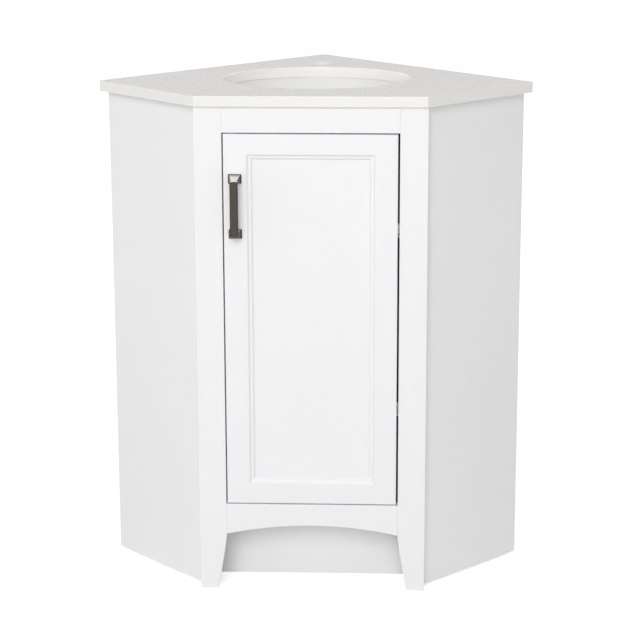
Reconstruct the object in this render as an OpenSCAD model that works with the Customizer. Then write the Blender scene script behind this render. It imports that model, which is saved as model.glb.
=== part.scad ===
// Corner vanity unit. A five-sided cabinet stands in the corner of a room, with a
// chamfered front, a stone top on it and an oval basin under the top. One inset door
// hangs on two concealed cup hinges. The front is -Y, the room's corner is +Y, the
// floor is Z = 0, and the origin is on the floor under the middle of the whole unit.

/* [Overall size] */
// Height of the top surface above the floor
unit_h = 890; // [740:1:1070]
// Width of the face frame across the front
frame_w = 400; // [330:1:490]
// Length of each side panel from the face frame back to the wall
side_len = 242; // [200:1:300]

/* [Countertop] */
// Thickness of the stone top
top_t = 19; // [15:1:30]
// How far the top stands out in front of the face frame
front_overhang = 8; // [2:1:25]
// How far the top stands out past each side panel
side_overhang = 18; // [5:1:40]
// How far the top stands out past the cabinet towards each wall
wall_overhang = 5; // [2:1:12]
// Radius of the top's corner in the room's corner
corner_r = 10; // [4:1:20]
// Radius of the top's other corners in plan
tip_r = 5; // [2:1:8]
// Size of the eased edge round the top
ease = 1.5; // [0.5:0.5:3]

/* [Basin] */
// Length of the oval cut-out, side to side
bowl_w = 336; // [290:1:380]
// Width of the oval cut-out, front to back
bowl_d = 288; // [231:1:300]
// Distance from the face frame's front to the middle of the basin
bowl_y = 228; // [205:1:250]
// Depth of the bowl below the underside of the top
bowl_depth = 148; // [110:1:170]
// Width of the basin's flange outside the cut-out
flange_w = 20; // [16:1:26]
// Thickness of the basin's flange
flange_t = 10; // [8:1:14]
// Thickness of the bowl's wall
bowl_wall = 8; // [6:1:10]
// Radius of the drain hole
drain_r = 22.25; // [18:0.25:24]
// Radius of the single tap hole
tap_r = 17.5; // [15:0.5:19]
// Distance from the cut-out's rear edge to the tap hole's middle
tap_setback = 58; // [45:1:90]

/* [Face frame] */
// Thickness of the face frame
frame_t = 19; // [16:1:22]
// Width of each stile of the face frame
stile_w = 48; // [40:1:60]
// Height of the face frame's top rail
top_rail_h = 45; // [35:1:70]
// Height of the bottom rail at its ends
low_rail_h = 57; // [47:1:70]
// Height of the bottom rail's lower edge above the floor at its ends
leg_h = 103; // [90:1:130]
// Rise of the arch in the bottom rail
arch_rise = 17.4; // [8:0.2:24]
// Width of each leg where it meets the floor
foot_w = 31.5; // [26:0.5:38]
// Length of the tenons on the rails
tenon_len = 22; // [12:1:30]
// Thickness of the tenons on the rails
tenon_t = 7; // [5:1:9]

/* [Carcass] */
// Thickness of the side panels
panel_t = 15; // [12:1:18]
// Height of the side panels and back above the floor
base_gap = 5; // [3:1:12]
// Thickness of the cabinet's floor
deck_t = 15; // [12:1:18]
// Height of the cabinet floor's upper face
deck_z = 150; // [146:1:156]
// Depth of the groove that holds the floor in each side panel
dado = 5; // [3:1:7]
// Distance from the face frame's front to the toe-kick board
kick_y = 77.6; // [60:0.2:100]
// Thickness of the toe-kick board
kick_t = 15; // [12:1:18]
// Thickness of the rails along the walls
rail_t = 15; // [12:1:18]
// Height of the upper rails along the walls
nailer_h = 95; // [70:1:110]
// Side of the square post in the corner
post_w = 45; // [35:1:60]

/* [Door] */
// Gap between the door and the face frame
door_gap = 2.3; // [1.8:0.1:3]
// Gap beside the door's hinged edge
hinge_gap = 3.4; // [2.4:0.1:4]
// Thickness of the door
door_t = 19; // [18:0.5:20]
// Flat width of the door's stiles, outside the moulded edge
door_stile_w = 39.7; // [39.5:0.1:48]
// Flat height of the door's rails, outside the moulded edge
door_rail_h = 35; // [30:1:60]
// Width of the moulded edge on the stiles and rails
mould_w = 10.5; // [9:0.5:12]
// Depth of the moulded edge where it stops at the panel
mould_d = 8.6; // [6:0.1:9]
// Depth of the door panel's face behind the frame's face
panel_recess = 9.2; // [8.7:0.1:11]
// Thickness of the door panel
door_panel_t = 5.2; // [4:0.1:6]
// Depth of the groove that holds the panel
groove_d = 8; // [6:1:9]

/* [Pull] */
// Distance between the pull's screws
pull_pitch = 96; // [64:1:128]
// Distance from the door's top edge to the pull's middle
pull_drop = 125; // [90:1:200]
// Distance from the door's face to the front of the bar
pull_reach = 30; // [24:1:36]
// Width of the bar
bar_w = 14; // [8:0.5:16]
// Depth of the bar, front to back
bar_d = 8; // [6:0.5:10]
// Width of each foot where it meets the door
pull_foot_w = 23; // [18:1:28]
// Height of each foot where it meets the door
pull_foot_h = 16; // [12:1:20]

/* [Hinges] */
// Distance from the door's top and bottom edges to each hinge's middle
hinge_inset = 170; // [80:1:200]
// Radius of the hinge cup
cup_r = 17.5; // [17:0.1:17.6]
// Depth of the bore for the cup
cup_depth = 12.5; // [12:0.1:13]
// Wood left between the cup and the door's edge
cup_edge = 4; // [3.9:0.1:4.5]
// Radial clearance of a hinge pin in its eye
pin_fit = 0.05; // [0.03:0.01:0.08]

/* [Hidden] */
$fn = 96;

white = [0.95, 0.95, 0.95];
stone = [0.85, 0.84, 0.82];
porcelain = [0.97, 0.97, 0.95];
gunmetal = [0.31, 0.30, 0.28];
nickel = [0.75, 0.75, 0.74];
rubber = [0.85, 0.85, 0.83];

root2 = sqrt(2);

// Carcass outline, worked out from the three overall sizes
case_h = unit_h - top_t;                      // height of the cabinet's top edge
half_w = frame_w / 2;                         // half the face frame
open_half = half_w - stile_w;                 // half the door opening
open_top = case_h - top_rail_h;
open_low = leg_h + low_rail_h;
side_k = half_w - frame_t;                    // x - y along a side panel's outer face
inner_k = side_k - panel_t * root2;           // x - y along its inner face
wall_k = side_k + 2 * frame_t + side_len * root2; // x + y along the wall side
wall_len = (side_k + wall_k) / root2;         // room's corner to the side panel's face
side_h = case_h - base_gap;
deck_low = deck_z - deck_t;

// Middle of the unit, front to back, pull and countertop included
back_tip = wall_k + wall_overhang * root2 - corner_r * (root2 - 1);
centre_y = (back_tip - pull_reach) / 2;

// Door
door_half = open_half - door_gap;
hinge_edge = open_half - hinge_gap;              // the door's hinged edge
door_low = open_low + door_gap;
door_top = open_top - door_gap;
door_h = door_top - door_low;
mould_x = door_half - door_stile_w;           // where the stile's flat face ends
panel_x = mould_x - mould_w;                  // where the door panel begins
groove_fit = 0.1;
pull_x = -(door_half - door_stile_w / 2);
pull_z = door_top - pull_drop;
pull_ends = [pull_z - pull_pitch / 2, pull_z + pull_pitch / 2];

// Hinge, in plan. The pins are placed from the opening's hinged edge, so the linkage
// keeps its shape when the cabinet's width changes. Pins a and c are on the arm, and
// pins b and d are in the cup.
hinge_zs = [door_low + hinge_inset, door_top - hinge_inset];
pin_a = [open_half - 16.5, 31];
pin_b = [open_half - 15, 9.5];
pin_c = [open_half - 37, 27];
pin_d = [open_half - 17.5, 17];
pin_r = 1.1;
stub_r = 0.8;
cup_x = door_half - cup_edge - cup_r;
strip_len = 60;                               // depth of the strip behind the stile
strip_w = 45;

// Right-handed pieces are drawn once and mirrored for the left
module place() { translate([0, -centre_y, 0]) children(); }
module left() { mirror([1, 0, 0]) children(); }
module both() { children(); left() children(); }

// Frame along the right side panel: x runs back along its outer face, y inwards
module on_side() { translate([half_w, frame_t, 0]) rotate([0, 0, 45]) children(); }

// Frame along the right wall: x runs from the room's corner, y outwards to the wall
module on_wall() { translate([0, wall_k, 0]) rotate([0, 0, -45]) children(); }

// A round bar along Z from z0 to z1
module rod(r, z0, z1) { translate([0, 0, z0]) cylinder(r = r, h = z1 - z0); }

// A screw along -Y: its head's flat side is at y = 0 and its shank runs to y = -len
module screw(r, len, head_r, head_h) {
    rotate([90, 0, 0]) {
        translate([0, 0, -head_h]) cylinder(r1 = head_r * 0.75, r2 = head_r, h = head_h);
        cylinder(r = r, h = len);
    }
}

// Points of a corner of a closed outline, rounded to radius r
function unit(v) = v / norm(v);
function corner(a, p, b, r, n = 6) =
    let (u = unit(a - p), v = unit(b - p),
         half = acos(u * v) / 2,
         c = p + unit(u + v) * r / sin(half),
         t0 = p + u * r / tan(half) - c,
         t1 = p + v * r / tan(half) - c,
         turn = cross(t0, t1) > 0 ? 1 : -1,
         sweep = turn * (180 - 2 * half))
    [for (i = [0 : n]) let (w = sweep * i / n)
        c + [t0[0] * cos(w) - t0[1] * sin(w), t0[0] * sin(w) + t0[1] * cos(w)]];
function rounded(pts, radii) =
    [for (i = [0 : len(pts) - 1])
        each corner(pts[(i + len(pts) - 1) % len(pts)], pts[i],
                    pts[(i + 1) % len(pts)], radii[i])];

// ---- Countertop ----

// Outline of the top, drawn in by inset all round
function top_points(inset) =
    let (front = inset - front_overhang,
         side = side_k + (side_overhang - inset) * root2,
         wall = wall_k + (wall_overhang - inset) * root2)
    [[side + front, front], [(side + wall) / 2, (wall - side) / 2], [0, wall],
     [-(side + wall) / 2, (wall - side) / 2], [-side - front, front]];

function oval_point(a, b, t) = [a * cos(t), b * sin(t)];

module top_outline(inset) {
    radii = [tip_r, tip_r, corner_r, tip_r, tip_r];
    polygon(rounded(top_points(inset), [for (r = radii) r - inset]));
}

module countertop() place() color(stone) difference() {
    hull() {
        translate([0, 0, case_h]) linear_extrude(top_t) top_outline(ease);
        translate([0, 0, case_h + ease]) linear_extrude(top_t - 2 * ease) top_outline(0);
    }
    translate([0, bowl_y, case_h - 1]) linear_extrude(top_t + 2)
        polygon([for (i = [0 : 95]) oval_point(bowl_w / 2, bowl_d / 2, 360 * i / 96)]);
    translate([0, tap_y, case_h - 1]) cylinder(r = tap_r, h = top_t + 2);
    for (a = clip_angles) clip_frame(a) rod(clip_screw_r + 0.05, -1, clip_bite);
}
tap_y = bowl_y + bowl_d / 2 + tap_setback;

// ---- Basin ----

// The bowl is turned as a round dish as wide as the oval is long, then drawn in front
// to back. Its inside runs from the rim (t = 0) to the flat round the drain (t = 90).
reveal = 1.5;
drain_flat = 42;
bowl_steps = 11;
rim_r = bowl_w / 2 + reveal;
flange_r = rim_r + flange_w;
bowl_squash = (bowl_d + 2 * reveal) / (bowl_w + 2 * reveal);
bowl_under = -bowl_depth - bowl_wall;
function bowl_point(t, out) =
    [drain_flat + (rim_r - drain_flat) * pow(cos(t), 0.72) + out * cos(t),
     -bowl_depth * pow(sin(t), 0.86) - out * sin(t)];
function bowl_curve(out, t0, t1) =
    [for (i = [0 : bowl_steps]) bowl_point(t0 + (t1 - t0) * i / bowl_steps, out)];

// Half section of the bowl and its flange, in radius and height
module bowl_section() polygon(concat([[0, -bowl_depth]], bowl_curve(0, 90, 0),
    [[flange_r - 2, 0], [flange_r, -2], [flange_r, -flange_t],
        [rim_r + bowl_wall + 1, -flange_t]],
    [for (p = bowl_curve(bowl_wall, 0, 90)) if (p[1] < -flange_t) p],
    [[0, bowl_under]]));

module basin() place() color(porcelain) translate([0, bowl_y, case_h]) difference() {
    union() {
        resize([2 * flange_r, 2 * flange_r * bowl_squash, 0])
            rotate_extrude($fn = 64) bowl_section();
        rod(drain_r + 9, bowl_under - 6, bowl_under + 1);
        overflow_rib(34, bowl_wall - 5, bowl_wall + 13, 24);
    }
    rod(drain_r, bowl_under - 7, 1);
    rod(drain_r + 8, -bowl_depth - 1.5, 1);
    overflow_rib(22, bowl_wall - 1, bowl_wall + 8, 29);
    for (x = [-10, 0, 10]) translate([x, -rim_r * bowl_squash - 2, overflow_z])
        rotate([-90, 0, 0]) cylinder(d = 7, h = 26);
}

// Overflow channel down the front of the bowl, from the three holes to the drain
overflow_z = -36;
module overflow_rib(width, near, far, t0) translate([-width / 2, 0, 0])
    rotate([90, 0, 90]) linear_extrude(width)
        polygon(concat(overflow_line(near, t0, 84), overflow_line(far, 84, t0)));
function overflow_line(out, t0, t1) =
    [for (p = bowl_curve(out, t0, t1)) [-p[0] * bowl_squash, p[1]]];

// Clips that hold the basin's flange up against the top
clip_angles = [0, 90, 180, 235, 305];
clip_w = 18;
clip_t = 2;
clip_screw_r = 2;
clip_bite = 9;
clip_reach = 11;
clip_lip = 7;
function flange_point(a) =
    oval_point(flange_r, flange_r * bowl_squash, a);
function flange_normal(a) = atan2(sin(a) / bowl_squash, cos(a));

// Frame at the screw of the clip at angle a: x points away from the basin
module clip_frame(a) {
    translate([0, bowl_y, case_h]) translate(flange_point(a))
        rotate([0, 0, flange_normal(a)]) translate([clip_reach, 0, 0]) children();
}
module basin_clips() place() color(nickel) for (a = clip_angles) clip_frame(a)
    difference() {
        rotate([90, 0, 0]) linear_extrude(clip_w, center = true)
            polygon([[7, 0], [7, -clip_t], [-clip_reach + 3, -clip_t],
                [-clip_reach + 3, -flange_t - clip_t],
                [-clip_reach - clip_lip, -flange_t - clip_t],
                [-clip_reach - clip_lip, -flange_t], [-clip_reach + 1, -flange_t],
                [-clip_reach + 1, 0]]);
        rod(clip_screw_r + 0.2, -clip_t - 1, 1);
    }
module basin_clip_screws() place() color(nickel) for (a = clip_angles) clip_frame(a)
    translate([0, 0, -clip_t]) rotate([-90, 0, 0])
        screw(clip_screw_r, clip_bite + clip_t - 1, 4.5, 3);

// ---- Face frame ----

// Leg's inner edge: square above the rail's end, then a curve that runs out to the foot
leg_steps = 8;
leg_power = 1.25;
function leg_inner(z) =
    open_half + (half_w - foot_w - open_half) * pow(1 - z / leg_h, leg_power);

module stile() difference() {
    translate([0, frame_t, 0]) rotate([90, 0, 0]) linear_extrude(frame_t)
        polygon(concat([[half_w, 0], [half_w, case_h], [open_half, case_h]],
            [for (i = [leg_steps : -1 : 0]) let (z = leg_h * i / leg_steps)
                [leg_inner(z), z]]));
    tenon(case_h - top_rail_h, top_rail_h, mortise_fit);
    tenon(leg_h, low_rail_h, mortise_fit);
}
mortise_fit = 0.15;
tenon_shoulder = 7;

// Tenon on the right end of a rail, or its mortise when grown by fit
module tenon(z, h, fit) {
    translate([open_half - 1, (frame_t - tenon_t) / 2 - fit, z + tenon_shoulder - fit])
        cube([tenon_len + 1 + fit * 2, tenon_t + 2 * fit, h - 2 * tenon_shoulder + 2 * fit]);
}
module face_stile_right() place() color(white) stile();
module face_stile_left() place() color(white) left() stile();

module face_top_rail() place() color(white) {
    translate([-open_half, 0, open_top]) cube([2 * open_half, frame_t, top_rail_h]);
    both() tenon(open_top, top_rail_h, 0);
}

// The arch's curve meets the stiles a little above the legs' tops
arch_half = open_half + 2;
arch_r = (arch_half * arch_half + arch_rise * arch_rise) / (2 * arch_rise);
module face_bottom_rail() place() color(white) difference() {
    union() {
        translate([-open_half, 0, leg_h]) cube([2 * open_half, frame_t, low_rail_h]);
        both() tenon(leg_h, low_rail_h, 0);
    }
    translate([0, -1, leg_h + arch_rise - arch_r]) rotate([-90, 0, 0])
        cylinder(r = arch_r, h = frame_t + 2, $fn = 360);
}

// ---- Carcass ----

// Side panel: its front edge is bevelled to seat on the stile's back, and a groove
// across its inner face holds the cabinet's floor
module side_panel() difference() {
    on_side() translate([0, 0, base_gap]) linear_extrude(side_h)
        polygon([[0, 0], [side_len, 0], [side_len, panel_t], [-panel_t, panel_t]]);
    on_side() translate([-2 * panel_t, panel_t - dado - dado_fit, deck_low - dado_fit])
        cube([side_len + 4 * panel_t, 2 * dado, deck_t + 2 * dado_fit]);
}
dado_fit = 0.15;
module side_panel_right() place() color(white) side_panel();
module side_panel_left() place() color(white) left() side_panel();

// Rails along the wall, from the post to the side panel
module wall_rail(z, h) on_wall() translate([post_w, -rail_t, z])
    cube([wall_len - panel_t - post_w, rail_t, h]);
module nailer_right() place() color(white) wall_rail(case_h - nailer_h, nailer_h);
module nailer_left() place() color(white) left() wall_rail(case_h - nailer_h, nailer_h);
module back_rail_right() place() color(white) wall_rail(base_gap, deck_low - base_gap);
module back_rail_left() place() color(white) left() wall_rail(base_gap, deck_low - base_gap);

module corner_post() place() color(white) on_wall()
    translate([0, -post_w, base_gap]) cube([post_w, post_w, side_h]);

// Cabinet floor, notched round the post
module floor_deck() place() color(white) translate([0, 0, deck_low])
    linear_extrude(deck_t) polygon(concat(deck_side(1), deck_notch, deck_side(-1)));
deck_k = inner_k + dado * root2;
notch = (post_w + 0.3) * root2;
deck_notch = [[notch / 2, wall_k - notch / 2], [0, wall_k - notch],
    [-notch / 2, wall_k - notch / 2]];
function deck_side(s) =
    let (pts = [[deck_k + frame_t, frame_t],
                [(deck_k + wall_k) / 2, (wall_k - deck_k) / 2]])
    s > 0 ? pts : [[-pts[1][0], pts[1][1]], [-pts[0][0], pts[0][1]]];

// Strip under the floor's front edge, hidden behind the bottom rail
cleat_h = 14;
module deck_cleat() place() color(white)
    translate([-inner_k - frame_t, frame_t, deck_low - cleat_h])
        cube([2 * (inner_k + frame_t), 19, cleat_h]);

// Toe-kick board, with its ends bevelled to the side panels
module toe_kick() place() color(white) linear_extrude(deck_low)
    polygon([[-inner_k - kick_y, kick_y], [inner_k + kick_y, kick_y],
        [inner_k + kick_y + kick_t, kick_y + kick_t],
        [-inner_k - kick_y - kick_t, kick_y + kick_t]]);

// Strip behind the right stile that carries the hinges, with its outer side bevelled
// to the side panel. Its lip closes the door's gap, and is cut away at the hinges.
dust_lip = hinge_gap + 1.3;
dust_lip_gap = 12;
module hinge_strip() place() color(white) difference() {
    translate([0, 0, deck_z]) linear_extrude(case_h - deck_z)
        polygon([[open_half, frame_t], [inner_k + frame_t, frame_t],
            [open_half + strip_w, open_half + strip_w - inner_k],
            [open_half + strip_w, frame_t + strip_len], [open_half, frame_t + strip_len],
            [open_half, frame_t + 10], [open_half - dust_lip, frame_t + 10],
            [open_half - dust_lip, frame_t + stop_rebate], [open_half, frame_t + stop_rebate]]);
    for (z = hinge_zs) translate([open_half - dust_lip - 1, frame_t, z - dust_lip_gap])
        cube([dust_lip + 1, 11, 2 * dust_lip_gap]);
    for (z = hinge_zs) plate_screw_places(z) screw(plate_screw_r + 0.05, plate_screw_len + 1, 1, 1);
}

// Strip behind the left stile that the door shuts against
stop_lip = 10;
stop_rebate = 2.5;
module stop_strip() place() color(white) left() translate([0, 0, deck_z])
    linear_extrude(case_h - deck_z)
        polygon([[open_half - stop_lip, frame_t + stop_rebate], [open_half, frame_t + stop_rebate],
            [open_half, frame_t], [inner_k + frame_t, frame_t],
            [inner_k + frame_t + 12, frame_t + 12], [open_half - stop_lip, frame_t + 12]]);

// Clear bumpers on the stop strip, just behind the closed door
bumper_t = 2;
bumper_zs = [door_low + 60, door_top - 60];
module door_bumpers() place() color(rubber) for (z = bumper_zs)
    translate([-(open_half - stop_lip / 2), frame_t + stop_rebate, z]) rotate([90, 0, 0])
        cylinder(r1 = 4, r2 = 3.4, h = bumper_t);

// Triangular braces in the top corners between side panels and rails
brace = 62;
brace_t = 18;
module corner_braces() place() color(white) both() on_wall()
    translate([wall_len - panel_t, -rail_t, case_h - brace_t]) linear_extrude(brace_t)
        polygon([[0, 0], [-brace, 0], [-brace, -8], [-8, -brace], [0, -brace]]);

// Round glides under the back rails' ends and the post
glide_r = 7;
module glide() {
    rod(glide_r - 1, 0, 1);
    rod(glide_r, 1, base_gap);
}
module glides() place() color(rubber) {
    both() on_wall() translate([wall_len - panel_t - 30, -rail_t / 2, 0]) glide();
    on_wall() translate([post_w / 2, -post_w / 2, 0]) glide();
}

// ---- Door ----

// Moulded edge, as distance in from the flat face and depth: a cove, a flat fillet,
// then a smaller cove down to the panel
cove_w = 5;
cove_d = 4.9;
fillet_w = 1.8;
cove_steps = 6;
function cove(x0, y0, x1, y1, t0) = [for (i = [0 : cove_steps]) let (t = t0 + (90 - t0) * i / cove_steps)
    [x0 + (x1 - x0) * (cos(t0) - cos(t)) / cos(t0), y0 + (y1 - y0) * (sin(t) - sin(t0)) / (1 - sin(t0))]];
function mould_points() = concat(cove(0.4, 0.4, 0.4 + cove_w, cove_d, 25),
    cove(0.4 + cove_w + fillet_w, cove_d + 0.2, mould_w, mould_d, 40));

// Section of a stile or rail: x runs in from its outer edge, y is the depth
module member_section(flat) {
    back = panel_recess + door_panel_t + 2 * groove_fit;
    full = flat + mould_w;
    polygon(concat([[0, door_t], [0, 0.6], [0.6, 0], [flat, 0]],
        [for (p = mould_points()) [flat + p[0], p[1]]],
        [[full, panel_recess], [full - groove_d, panel_recess],
         [full - groove_d, back], [full, back], [full, door_t]]));
}

// Right door stile, and the same outline used to cope the rails' ends
module door_stile_bar() translate([door_half, 0, door_low]) mirror([1, 0, 0])
    linear_extrude(door_h) member_section(door_stile_w);

// A rail with its outer edge at the bottom, its ends coped over the stiles
module door_rail() difference() {
    translate([-mould_x, 0, 0]) rotate([90, 0, 90]) linear_extrude(2 * mould_x)
        mirror([1, -1, 0]) member_section(door_rail_h);
    both() translate([0, 0, -door_low - 1]) door_stile_bar();
}

module door_stile_right() place() color(white) difference() {
    door_stile_bar();
    translate([hinge_edge, 0, door_low - 1]) linear_extrude(door_h + 2)
        polygon([[0, door_t + 1], [0, 0.6], [-1.6, -1], [9, -1], [9, door_t + 1]]);
    for (z = hinge_zs) {
        translate([cup_x, door_t - cup_depth, z]) rotate([-90, 0, 0])
            cylinder(r = cup_r, h = cup_depth + 1);
        cup_screw_places(z) screw(cup_screw_r + 0.05, cup_screw_len + 0.5, 1, 1);
    }
}
module door_stile_left() place() color(white) difference() {
    left() door_stile_bar();
    for (z = pull_ends) translate([pull_x, -1, z]) rotate([-90, 0, 0])
        cylinder(r = pull_screw_r + 0.3, h = door_t + 2);
}
module door_top_rail() place() color(white)
    translate([0, 0, door_top]) mirror([0, 0, 1]) door_rail();
module door_bottom_rail() place() color(white) translate([0, 0, door_low]) door_rail();

panel_play = 1;
module door_panel() place() color(white) {
    x = panel_x + groove_d - panel_play;
    z0 = door_low + door_rail_h + mould_w - groove_d + panel_play;
    z1 = door_top - door_rail_h - mould_w + groove_d - panel_play;
    translate([-x, panel_recess + groove_fit, z0]) cube([2 * x, door_panel_t, z1 - z0]);
}

// ---- Pull ----

pull_screw_r = 1.95;
pull_bite = 9;
bar_back = -(pull_reach - bar_d);
bar_len = pull_pitch;
module block(x, y0, y1, h) translate([-x / 2, y0, -h / 2]) cube([x, y1 - y0, h]);

// Flared foot at the pull's upper end: a low plinth on the door that draws in to the
// bar's width and slopes down to the bar's end
foot_end_h = 7;
module pull_foot() {
    block(pull_foot_w, -2.5, 0, pull_foot_h);
    hull() {
        block(pull_foot_w - 2, -3, -2, pull_foot_h - 2);
        translate([0, 0, -foot_end_h / 2]) block(bar_w, bar_back - 2, bar_back - 1, foot_end_h);
    }
}
module door_pull() place() color(gunmetal) translate([pull_x, 0, pull_z]) difference() {
    union() {
        for (m = [0, 1]) mirror([0, 0, m]) translate([0, 0, pull_pitch / 2]) pull_foot();
        hull() {
            block(bar_w - 4, -pull_reach, bar_back, bar_len);
            block(bar_w, -pull_reach + 2, bar_back - 2, bar_len);
        }
    }
    for (z = [-1, 1]) translate([0, 1, z * pull_pitch / 2]) rotate([90, 0, 0])
        cylinder(r = pull_screw_r + 0.05, h = pull_bite + 2);
}
module pull_screws() place() color(nickel) for (z = pull_ends)
    translate([pull_x, door_t, z]) screw(pull_screw_r, door_t + pull_bite, 4.5, 2.2);

// ---- Hinges ----

arm_z = [5.2, 6.4];        // the arm's side plates, either side of the hinge's middle
outer_z = [3.2, 4.6];      // the outer link's two plates
lug_z = [6.8, 8];          // the cup's lugs
inner_z = 2.6;             // half width of the inner link
eye_wall = 1.25;
plate_screw_r = 1.75;
plate_screw_len = 17;
cup_screw_r = 1.6;
cup_screw_len = 12;
strip_face = open_half;

module at_hinge(z) { translate([0, 0, z]) children(); }

// A flat bar in plan through the points, half its width is w
module path_bar(pts, w) for (i = [0 : len(pts) - 2]) {
    d = pts[i + 1] - pts[i];
    translate(pts[i]) rotate(atan2(d[1], d[0])) translate([0, -w]) square([norm(d), 2 * w]);
    translate(pts[i]) circle(r = w, $fn = 24);
}
module slab(z0, z1) translate([0, 0, z0]) linear_extrude(z1 - z0) children();
module both_slabs(z) {
    slab(z[0], z[1]) children();
    slab(-z[1], -z[0]) children();
}

// Two short pins that leave the inner link's path free
module stubs(r, far) {
    rod(r, outer_z[0] - 0.2, far);
    rod(r, -far, 0.2 - outer_z[0]);
}

// Inner link: a hooked strip from the arm's pin a round the door's edge to pin b
hook = [pin_b, pin_b + [-13.5, 0.2], pin_b + [-19.5, 10], pin_a];
module inner_link(z) at_hinge(z) difference() {
    slab(-inner_z, inner_z) {
        path_bar(hook, 1);
        translate(pin_a) circle(r = pin_r + eye_wall);
        translate(pin_b) circle(r = pin_r + 0.8);
    }
    for (p = [pin_a, pin_b]) translate(p) rod(pin_r + pin_fit, -inner_z - 1, inner_z + 1);
}
module hinge_inner_link_lower() place() color(nickel) inner_link(hinge_zs[0]);
module hinge_inner_link_upper() place() color(nickel) inner_link(hinge_zs[1]);

// Outer link: a pair of plates, one each side of the inner link. Their eyes round pin d
// are wide, because the closed linkage is opened there.
eye_d = pin_d + [-1.8, 0.4];
eye_d_r = 2.85;
module outer_link(z) at_hinge(z) difference() {
    both_slabs(outer_z) {
        path_bar([eye_d, pin_d + [-13.5, 3.5], pin_c], 1.2);
        translate(pin_c) circle(r = pin_r + eye_wall);
        translate(eye_d) circle(r = eye_d_r + 0.9);
    }
    translate(pin_c) rod(pin_r + pin_fit, -outer_z[1] - 1, outer_z[1] + 1);
    translate(eye_d) rod(eye_d_r, -outer_z[1] - 1, outer_z[1] + 1);
}
module hinge_outer_link_lower() place() color(nickel) outer_link(hinge_zs[0]);
module hinge_outer_link_upper() place() color(nickel) outer_link(hinge_zs[1]);

// Arm: a cranked channel over the plate's rail, with the two fixed pins at its nose
arm_top = strip_face - 12;
module arm_side() polygon([[pin_c[0] - 2.4, 27], [pin_c[0] - 1.5, 25], [pin_c[0] + 1.5, 24.8],
    [pin_a[0] - 7.5, 26.9], [pin_a[0] + 1, 28.3], [pin_a[0] + 4.5, 30.5],
    [strip_face - 3.2, 36], [strip_face - 3.2, 84], [arm_top, 84], [arm_top, 42],
    [pin_a[0] - 2, 35.8], [pin_c[0] + 5, 31.8], [pin_c[0] - 1, 29.3]]);
module arm(z) at_hinge(z) {
    difference() {
        union() {
            both_slabs(arm_z) arm_side();
            slab(-arm_z[1], arm_z[1])
                path_bar([[arm_top + 0.6, 84], [arm_top + 0.6, 42.2], [pin_a[0] - 1.6, 36.2],
                    [pin_c[0] + 6, 31.9]], 0.6);
        }
        translate([arm_top, 66, 0]) rotate([0, 90, 0])
            cylinder(r = arm_screw_r + 0.2, h = 4, center = true);
    }
    translate(pin_a) rod(pin_r, -arm_z[1], arm_z[1]);
    translate(pin_c) stubs(pin_r, arm_z[1]);
}
module hinge_arm_lower() place() color(nickel) arm(hinge_zs[0]);
module hinge_arm_upper() place() color(nickel) arm(hinge_zs[1]);

// Plate: two wings on the strip and a rail that the arm slides over
plate_y = 58;
plate_screw_z = 16;
module plate(z) at_hinge(z) difference() {
    union() {
        translate([strip_face - 3, 50, -22]) cube([3, 16, 44]);
        translate([strip_face - 10.6, 46, -5]) cube([10.6, 33, 10]);
    }
    for (s = [-1, 1]) translate([strip_face, plate_y, s * plate_screw_z])
        rotate([0, 90, 0]) cylinder(r = plate_screw_r + 0.2, h = 8, center = true);
    translate([strip_face - 10, 66, 0]) rotate([0, 90, 0])
        cylinder(r = arm_screw_r + 0.05, h = 10, center = true);
}
module hinge_plate_lower() place() color(nickel) plate(hinge_zs[0]);
module hinge_plate_upper() place() color(nickel) plate(hinge_zs[1]);

module plate_screw_places(z) for (s = [-1, 1])
    translate([strip_face - 3, plate_y, z + s * plate_screw_z])
        rotate([0, 0, -90]) mirror([0, 1, 0]) children();
module hinge_plate_screws() place() color(nickel) for (z = hinge_zs)
    plate_screw_places(z) screw(plate_screw_r, plate_screw_len, 3.5, 2);

arm_screw_r = 2;
module hinge_arm_screws() place() color(nickel) for (z = hinge_zs)
    translate([arm_top, 66, z]) rotate([0, 0, -90]) mirror([0, 1, 0])
        screw(arm_screw_r, 6, 3.4, 2);

// Cup: a pressed bowl in the door's back, with a flange, two lugs, and pins b and d
cup_fit = 0.1;
flange_up = 1.6;
cup_floor = door_t - cup_depth;
module cup(z) at_hinge(z) {
    difference() {
        union() {
            translate([cup_x, cup_floor + cup_fit, 0]) rotate([-90, 0, 0])
                cylinder(r = cup_r - cup_fit, h = cup_depth - cup_fit);
            translate([cup_x, door_t, 0]) rotate([-90, 0, 0]) linear_extrude(flange_up)
                union() {
                    circle(r = cup_r + 1.8);
                    translate([-6, 0]) square([13, 60], center = true);
                }
        }
        translate([cup_x, cup_floor + 0.8, 0]) rotate([-90, 0, 0])
            cylinder(r = cup_r - 0.9, h = cup_depth + 3);
        translate([cup_x, door_t, -lug_z[1] - 0.6]) cube([30, 3, 2 * lug_z[1] + 1.2]);
        cup_screw_places(z - z) screw(cup_screw_r + 0.2, 3, 1, 1);
    }
    both_slabs(lug_z) polygon([[pin_b[0] - 7, cup_floor + 0.5], [pin_b[0] + 3.2, cup_floor + 0.5],
        [pin_b[0] + 3.2, 14], [pin_d[0] + 2, door_t], [pin_d[0] - 3, door_t]]);
    translate(pin_b) rod(pin_r, -lug_z[1], lug_z[1]);
    translate(pin_d) stubs(stub_r, lug_z[1]);
}
module hinge_cup_lower() place() color(nickel) cup(hinge_zs[0]);
module hinge_cup_upper() place() color(nickel) cup(hinge_zs[1]);

module cup_screw_places(z) for (s = [-1, 1])
    translate([cup_x - 6, door_t + flange_up, z + s * 24]) children();
module hinge_cup_screws() place() color(nickel) for (z = hinge_zs)
    cup_screw_places(z) screw(cup_screw_r, cup_screw_len, 3.2, 1.6);

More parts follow.
